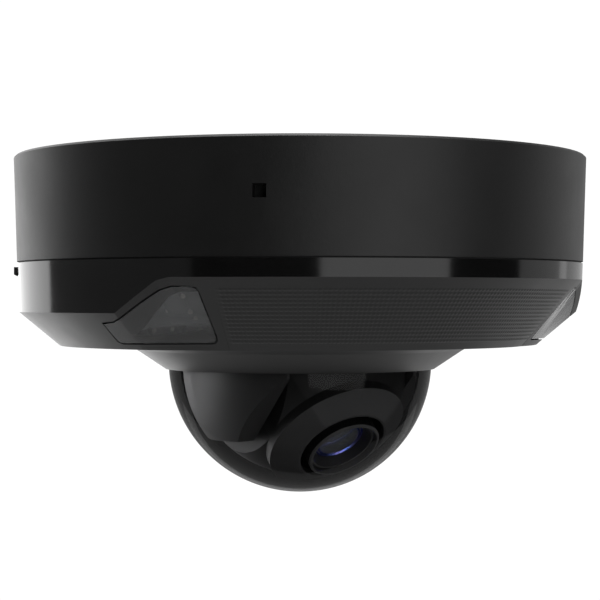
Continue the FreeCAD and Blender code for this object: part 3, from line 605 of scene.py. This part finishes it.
def lamp_reflectors(name, side):
    """A bright thin funnel round each emitter."""
    place = lamp_place(side)
    points, faces = [], []
    profile = [(1.85, 0.92), (1.95, 0.92), (2.2, 1.27), (2.1, 1.27)]
    turns = 40
    count = len(profile)
    for spot in LAMP_SPOTS:
        start = len(points)
        for radius, height in profile:
            for turn in range(turns):
                angle = 2 * math.pi * turn / turns
                spot_point = Vector((spot + radius * math.cos(angle), radius * math.sin(angle), height))
                points.append(place @ (spot_point * MM))
        for i in range(count):
            for turn in range(turns):
                after, b = (turn + 1) % turns, (i + 1) % count
                faces.append((start + i * turns + turn, start + i * turns + after,
                              start + b * turns + after, start + b * turns + turn))
    return piece(f"ir_reflectors_{name}", points, faces, "root", finishes["tin_shell"])


def bar(low, high, bevel, points, faces, place):
    """Adds a small block with every upper edge bevelled to the points and faces of a piece."""
    start = len(points)
    rings = ((0.0, low[2]), (0.0, high[2] - bevel), (bevel, high[2]))
    for inset, level in rings:
        for x, y in ((low[0] + inset, low[1] + inset), (high[0] - inset, low[1] + inset),
                     (high[0] - inset, high[1] - inset), (low[0] + inset, high[1] - inset)):
            points.append(place @ (Vector((x, y, level)) * MM))
    faces.append([start + 3, start + 2, start + 1, start])
    faces.append([start + 8, start + 9, start + 10, start + 11])
    for ring in (0, 4):
        for i in range(4):
            j = (i + 1) % 4
            a, b = start + ring + i, start + ring + j
            faces.append([a, b, b + 4, a + 4])


def bead(x, y, level, radius, height, points, faces, place):
    """Adds a small domed pin head to the points and faces of a piece."""
    start, turns = len(points), 16
    for reach, rise in ((1.0, 0.0), (0.92, 0.55), (0.6, 0.88)):
        for turn in range(turns):
            angle = 2 * math.pi * turn / turns
            spot = Vector((x + radius * reach * math.cos(angle),
                           y + radius * reach * math.sin(angle), level + height * rise))
            points.append(place @ (spot * MM))
    points.append(place @ (Vector((x, y, level + height)) * MM))
    for turn in range(turns):
        after = (turn + 1) % turns
        for ring in (0, turns):
            faces.append([start + ring + turn, start + ring + after,
                          start + ring + turns + after, start + ring + turns + turn])
        faces.append([start + 2 * turns + turn, start + 2 * turns + after, start + 3 * turns])


def lamp_shroud(name, side):
    """The pale stepped ledge under the lens plate, and pale pin heads set where the lens domes show
    glints, whose pale colour stands in for those glints as painted highlights.
    """
    place = lamp_place(side)
    points, faces = [], []
    for low, high in (((-8.3, -8.6, LEDGE_BACK), (8.3, -7.3, LEDGE_STEP)),
                      ((-8.3, -7.3, LEDGE_BACK), (-2.0, -5.2, LEDGE_TOP)),
                      ((-0.2, -7.3, LEDGE_BACK), (8.3, -5.2, LEDGE_TOP))):
        bar(low, high, 0.18, points, faces, place)
    ledge = piece(f"ir_ledge_{name}", points, faces, "root", finishes["button"], smooth=False)
    points, faces = [], []
    # Painted highlights: these pale pin heads sit where the lens plate shows glints, and their pale
    # colour stands in for the glints.
    for x in (-7.4, -3.4, 2.9, 7.2):
        bead(x, -6.1, LEDGE_TOP, 0.42, 0.4, points, faces, place)
    for x in (-6.9, -1.4, 5.6):
        bead(x, -7.95, LEDGE_STEP, 0.4, 0.35, points, faces, place)
    for x, y in ((2.7, 1.75), (2.7, -1.75), (-2.7, 1.75), (-2.7, -1.75), (7.7, 3.2), (-7.7, -3.0),
                 (3.2, -3.3)):
        bead(x, y, 2.95, 0.45, 0.45, points, faces, place)
    glint_pins = piece(f"ir_pins_{name}", points, faces, "root", finishes["connector"])
    return [ledge, glint_pins]


lamp_pieces = []
for lamp_name, lamp_side in (("left", -1), ("right", 1)):
    lamp_pieces.append(lamp_optic(lamp_name, lamp_side))
    lamp_pieces.append(lamp_reflectors(lamp_name, lamp_side))
    lamp_pieces.extend(lamp_shroud(lamp_name, lamp_side))
    lamp_pieces.extend([nodes[f"ir_board_{lamp_name}"], nodes[f"ir_emitters_{lamp_name}"]])


BOARD_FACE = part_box("main_board")[0].z / MM

# The sensor ribbon, in millimetres: the (y, z) where its two lengths meet, and the points where it enters
# the head and lands on the sensor board.
BACKWARD = Vector((0, math.cos(TILT_REST), math.sin(TILT_REST)))
RIBBON_MIDDLE = (2.0, -20.0)
RIBBON_ENTRY = Vector((0, 0, PIVOT_Z)) + 15.0 * BACKWARD
RIBBON_LANDING = Vector((0, 0, PIVOT_Z)) + 6.3 * BACKWARD
RIBBON_TOP = BOARD_FACE - 0.9
RIBBON_HALF_WIDTH, RIBBON_HALF_THICKNESS, RIBBON_MARGIN = 3.5, 0.125, 0.5
FOLD_REACH, FOLD_STEPS, LENGTH_STEP = 1.1, 5, 0.5


def rounded_line(corners):
    """A line in the YZ plane through (y, z) corners, eased round each and cut into short lengths."""
    line = [Vector((0, y, z)) for y, z in corners]
    eased = [line[0]]
    for before, here, after in zip(line, line[1:], line[2:]):
        start = here + (before - here).normalized() * min(FOLD_REACH, 0.45 * (before - here).length)
        end = here + (after - here).normalized() * min(FOLD_REACH, 0.45 * (after - here).length)
        for i in range(FOLD_STEPS + 1):
            t = i / FOLD_STEPS
            eased.append(start * (1 - t) ** 2 + here * (2 * t * (1 - t)) + end * t ** 2)
    eased.append(line[-1])
    points = [eased[0]]
    for here, after in zip(eased, eased[1:]):
        cuts = max(1, math.ceil((after - here).length / LENGTH_STEP))
        points.extend(here.lerp(after, (i + 1) / cuts) for i in range(cuts))
    return points


def ribbon_length(name, corners):
    """One length of the flat flexible circuit, between the two bodies it joins, riding on neither."""
    turn = Matrix.Rotation(PAN_REST, 4, "Z")
    line = rounded_line(corners)
    edge, margin = RIBBON_HALF_WIDTH, RIBBON_HALF_WIDTH - RIBBON_MARGIN
    ring = [(-edge, -1), (-margin, -1), (margin, -1), (edge, -1),
            (edge, 1), (margin, 1), (-margin, 1), (-edge, 1)]
    points, faces = [], []
    for i, here in enumerate(line):
        along = (line[min(i + 1, len(line) - 1)] - line[max(i - 1, 0)]).normalized()
        across = Vector((0, -along.z, along.y)) * RIBBON_HALF_THICKNESS
        points.extend(turn @ ((here + Vector((x, 0, 0)) + across * side) * MM) for x, side in ring)
    count = len(ring)
    for i in range(len(line) - 1):
        for j in range(count):
            k = (j + 1) % count
            faces.append((i * count + j, i * count + k, (i + 1) * count + k, (i + 1) * count + j))
    faces.append(list(range(count)))
    faces.append([len(points) - 1 - j for j in range(count)])
    thing = piece(name, points, faces, None, finishes["ribbon"], smooth=False)
    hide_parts("sensor_ribbon")
    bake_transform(thing)


ribbon_length("ribbon_upper", [(-15.9, RIBBON_TOP), (-2.0, RIBBON_TOP), (0.6, RIBBON_TOP - 1.2),
                               (1.6, RIBBON_TOP - 4.0), RIBBON_MIDDLE])
ribbon_length("ribbon_lower", [RIBBON_MIDDLE, (5.5, -23.6), (RIBBON_ENTRY.y - 0.6, RIBBON_ENTRY.z + 1.0),
                               (RIBBON_ENTRY.y + 0.1, RIBBON_ENTRY.z - 0.3),
                               (RIBBON_LANDING.y, RIBBON_LANDING.z)])


# Areas of the board already taken: (x low, x high, y low, y high) and (x, y, radius).
TAKEN_BOXES = ((-34, -17, -25, -8), (25, 40, -18, -4), (9, 33, -40, -20), (-17.5, -2.5, -37, -20),
               (-6, 6, -21, 8), (6.5, 25, 20, 42), (-42.5, -34.5, -16, -8), (-50, 8, 19.5, 50))
TAKEN_DISCS = ((-30, 12, 4.5), (33, 8, 4.5), (5, -27, 4.5), (33.3, 19.3, 6.5), (-33.3, 19.3, 6.5),
               (0, -38.5, 6.5), (10.5, 18.2, 4.6), (-21, 0, 4.6), (10.5, -18.2, 4.6), (45, 0, 8.5),
               (-45, 0, 8.5))
BOARD_RADIUS = 42.5
BOARD_REACH = 42
CHIP_HALF, CHIP_COUNT = 3.2, 5
SMALL_HALF, SMALL_COUNT = 1.0, 150
TRIES = 60
PART_GAP = 0.4


def board_is_free(x, y, half):
    """Whether a square of this half width, with its middle here, lies on bare board."""
    if math.hypot(x, y) + half > BOARD_RADIUS:
        return False
    if any(a - half < x < b + half and c - half < y < d + half for a, b, c, d in TAKEN_BOXES):
        return False
    return all(math.hypot(x - a, y - b) > radius + half for a, b, radius in TAKEN_DISCS)


def board_detail():
    """Small parts with metal end caps, and flat chips with rows of legs, on the board's lower face."""
    hang = Matrix.Translation((0, 0, BOARD_FACE * MM)) @ Matrix.Rotation(math.pi, 4, "X")
    bodies, body_faces, metal_points, metal_faces = [], [], [], []
    placed = []
    for half in [CHIP_HALF] * CHIP_COUNT + [SMALL_HALF] * SMALL_COUNT:
        for _ in range(TRIES):
            x, y = random.uniform(-BOARD_REACH, BOARD_REACH), random.uniform(-BOARD_REACH, BOARD_REACH)
            clear_of_others = all(math.hypot(x - a, y - b) > half + c + PART_GAP for a, b, c in placed)
            if board_is_free(x, y, half) and clear_of_others:
                placed.append((x, y, half))
                break
        else:
            continue
        y = -y
        if half == CHIP_HALF:
            bar((x - 2.0, y - 2.0, 0.12), (x + 2.0, y + 2.0, 1.0), 0.12, bodies, body_faces, hang)
            for leg in range(6):
                spot = y - 1.6 + 0.64 * leg
                for edge in (-2.85, 2.05):
                    bar((x + edge, spot - 0.12, 0.0), (x + edge + 0.8, spot + 0.12, 0.25), 0.05,
                        metal_points, metal_faces, hang)
        else:
            wide, tall, high = random.choice(((0.8, 0.4, 0.45), (0.6, 0.3, 0.35), (0.8, 0.45, 0.8)))
            across = random.random() < 0.5
            for edge, inner, target in ((-wide, -wide + 0.25, 1), (-wide + 0.25, wide - 0.25, 0),
                                        (wide - 0.25, wide, 1)):
                low = (x + edge, y - tall) if across else (x - tall, y + edge)
                high_corner = (x + inner, y + tall) if across else (x + tall, y + inner)
                level = high if target else high - 0.03
                store = (metal_points, metal_faces) if target else (bodies, body_faces)
                bar((*low, 0.0), (*high_corner, level), 0.04, *store, hang)
    piece("board_parts_bodies", bodies, body_faces, "root", finishes["chip"], smooth=False)
    piece("board_parts_metal", metal_points, metal_faces, "root", finishes["screw_steel"],
          smooth=False)


board_detail()


def optics_place():
    """The lens unit's frame: its +Z runs out of the lens, from the tilt pivot."""
    pivot = Matrix.Translation((0, 0, PIVOT_Z * MM))
    return pivot @ Matrix.Rotation(PAN_REST, 4, "Z") @ Matrix.Rotation(math.pi / 2 + TILT_REST, 4, "X")


def coated_edge(name, inner, outer, base, rise):
    """A thin ring on the front element whose inner slope catches the light."""
    place = optics_place()
    turns = 180
    profile = [(inner, base), (inner * 0.55 + outer * 0.45, base + rise * 0.35), (outer, base + rise),
               (outer + 0.03, base + rise), (outer + 0.03, base - 0.25), (inner, base - 0.05)]
    points, faces = [], []
    for radius, level in profile:
        for turn in range(turns):
            angle = 2 * math.pi * turn / turns
            spot = Vector((radius * math.cos(angle), radius * math.sin(angle), level))
            points.append(place @ (spot * MM))
    for ring in range(len(profile)):
        after_ring = (ring + 1) % len(profile)
        for turn in range(turns):
            after = (turn + 1) % turns
            faces.append([ring * turns + turn, after_ring * turns + turn,
                          after_ring * turns + after, ring * turns + after])
    return piece(name, points, faces, "lens_unit", finishes["coating"])


edge_inner = coated_edge("lens_coated_edge_inner", 3.92, 4.26, 18.76, 0.26)
edge_outer = coated_edge("lens_coated_edge_outer", 4.62, 4.85, 18.42, 0.22)


# ---------------------------------------------------------------- studio

def stage_floor():
    """A pale round floor well below the camera, which hangs from its ceiling plate."""
    rings, turns, radius, height = 6, 96, 1.0, -0.30
    points = [(0, 0, height)]
    faces = []
    for ring in range(1, rings + 1):
        for turn in range(turns):
            angle = 2 * math.pi * turn / turns
            reach = radius * ring / rings
            points.append((reach * math.cos(angle), reach * math.sin(angle), height))
    for turn in range(turns):
        after = (turn + 1) % turns
        faces.append((0, 1 + turn, 1 + after))
        for ring in range(rings - 1):
            a = 1 + ring * turns
            faces.append((a + turn, a + turns + turn, a + turns + after, a + after))
    mesh = bpy.data.meshes.new("stage_floor")
    mesh.from_pydata(points, [], faces)
    finish = Finish("stage_paper")
    finish.colour(finish.noise(3), [(0.3, (0.86, 0.86, 0.86)), (0.7, (0.88, 0.88, 0.88))])
    finish.set(roughness=0.9)
    mesh.materials.append(finish.material)
    floor = bpy.data.objects.new("stage_floor", mesh)
    bpy.context.scene.collection.objects.link(floor)
    floor.visible_transmission = False
    floor.visible_glossy = False


VIEW_TURN = math.radians(-28)
VIEW_DISTANCE = 0.339
VIEW_HEIGHT = -0.02725
FOCAL_LENGTH = 104.5
AIM_HEIGHT = -0.03
# Strength of the white surroundings, as they light the object and as the camera sees them.
WORLD_LIGHT = 0.006
WORLD_SEEN = 1.05


def direction(turn):
    """The level direction from the object at this many degrees to the right of the camera's side."""
    angle = VIEW_TURN + math.radians(turn)
    return Vector((math.sin(angle), -math.cos(angle), 0))


def softbox(name, turn, distance, height, width, tall, radiance):
    """A soft rectangular lamp of this radiance, turned to face the object."""
    data = bpy.data.lights.new(name, "AREA")
    data.shape = "RECTANGLE"
    data.size = width
    data.size_y = tall
    data.energy = radiance * math.pi * width * tall
    lamp = bpy.data.objects.new(name, data)
    lamp.location = direction(turn) * distance + WORLD_UP * height
    aimed = Vector((0, 0, AIM_HEIGHT)) - lamp.location
    lamp.rotation_euler = aimed.to_track_quat("-Z", "Y").to_euler()
    lamp.visible_camera = False
    lamp.visible_transmission = False
    bpy.context.scene.collection.objects.link(lamp)
    return lamp


def light_only(lamp, things, state):
    """Keeps a lamp to these things (INCLUDE) or away from them (EXCLUDE)."""
    group = bpy.data.collections.new(lamp.name + "_receivers")
    for thing in things:
        group.objects.link(thing)
    for entry in group.collection_objects:
        entry.light_linking.link_state = state
    lamp.light_linking.receiver_collection = group


def studio():
    """The soft lamps, most of them kept to what they are there to show, and the white surroundings."""
    softbox("softbox_front_right", 33, 1.2, 0.0, 1.15, 1.1, 1.3)
    softbox("softbox_top", 0, 0.0, 1.1, 0.9, 0.9, 5.0)
    for lamp in (
        softbox("softbox_back_left", -146, 1.2, 0.25, 1.5, 2.3, 2.1),
        softbox("softbox_left", -80, 1.2, 0.0, 1.9, 1.6, 0.15),
        softbox("softbox_back_right", 152, 1.2, 0.0, 1.3, 1.8, 0.6),
        softbox("softbox_right", 112, 1.2, 0.0, 0.8, 1.6, 0.5),
        softbox("softbox_low", 0, 0.0, -0.29, 0.9, 0.9, 0.45),
    ):
        light_only(lamp, [bubble], "EXCLUDE")
    light_only(softbox("softbox_rim", 180, 1.2, 0.0, 3.2, 1.6, 0.25), [bubble], "INCLUDE")
    inside = [nodes[name] for name in ("pan_yoke", "head_front_shell", "head_rear_shell")]
    light_only(softbox("softbox_inside_left", -122, 1.2, -0.25, 1.0, 1.0, 9.5), inside, "INCLUDE")
    light_only(softbox("softbox_inside_low", 30, 0.35, -0.6, 0.6, 0.6, 2.2), inside, "INCLUDE")
    light_only(softbox("softbox_lamps", -28, 0.7, -0.5, 0.5, 0.5, 17.0), lamp_pieces, "INCLUDE")
    light_only(softbox("softbox_rim_low", 180, 0.8, -0.8, 2.0, 1.0, 0.24), [bubble], "INCLUDE")
    light_only(softbox("softbox_coating_front", 28, 0.33, -0.30, 0.34, 0.16, 30.0), [edge_inner],
               "INCLUDE")
    light_only(softbox("softbox_coating_low", 180, 0.14, -0.35, 0.5, 0.5, 16.0), [edge_outer], "INCLUDE")
    world = bpy.data.worlds.new("studio_white")
    world.use_nodes = True
    tree = world.node_tree
    background = tree.nodes["Background"]
    background.inputs["Color"].default_value = (1, 1, 1, 1)
    path = tree.nodes.new("ShaderNodeLightPath")
    strength = tree.nodes.new("ShaderNodeMapRange")
    tree.links.new(path.outputs["Is Camera Ray"], strength.inputs["Value"])
    strength.inputs["To Min"].default_value = WORLD_LIGHT
    strength.inputs["To Max"].default_value = WORLD_SEEN
    tree.links.new(strength.outputs["Result"], background.inputs["Strength"])
    bpy.context.scene.world = world


def place_camera():
    """A level camera a little below the ceiling, to the left of the object's front."""
    data = bpy.data.cameras.new("studio_camera")
    data.lens = FOCAL_LENGTH
    data.sensor_width = 36
    data.clip_start = 0.01
    data.clip_end = 20
    lens = bpy.data.objects.new("studio_camera", data)
    lens.location = (VIEW_DISTANCE * math.sin(VIEW_TURN), -VIEW_DISTANCE * math.cos(VIEW_TURN),
                     VIEW_HEIGHT)
    lens.rotation_euler = (math.pi / 2, 0, VIEW_TURN)
    bpy.context.scene.collection.objects.link(lens)
    bpy.context.scene.camera = lens


stage_floor()
studio()
place_camera()
bpy.context.scene.view_settings.view_transform = "Standard"

bpy.context.view_layer.update()
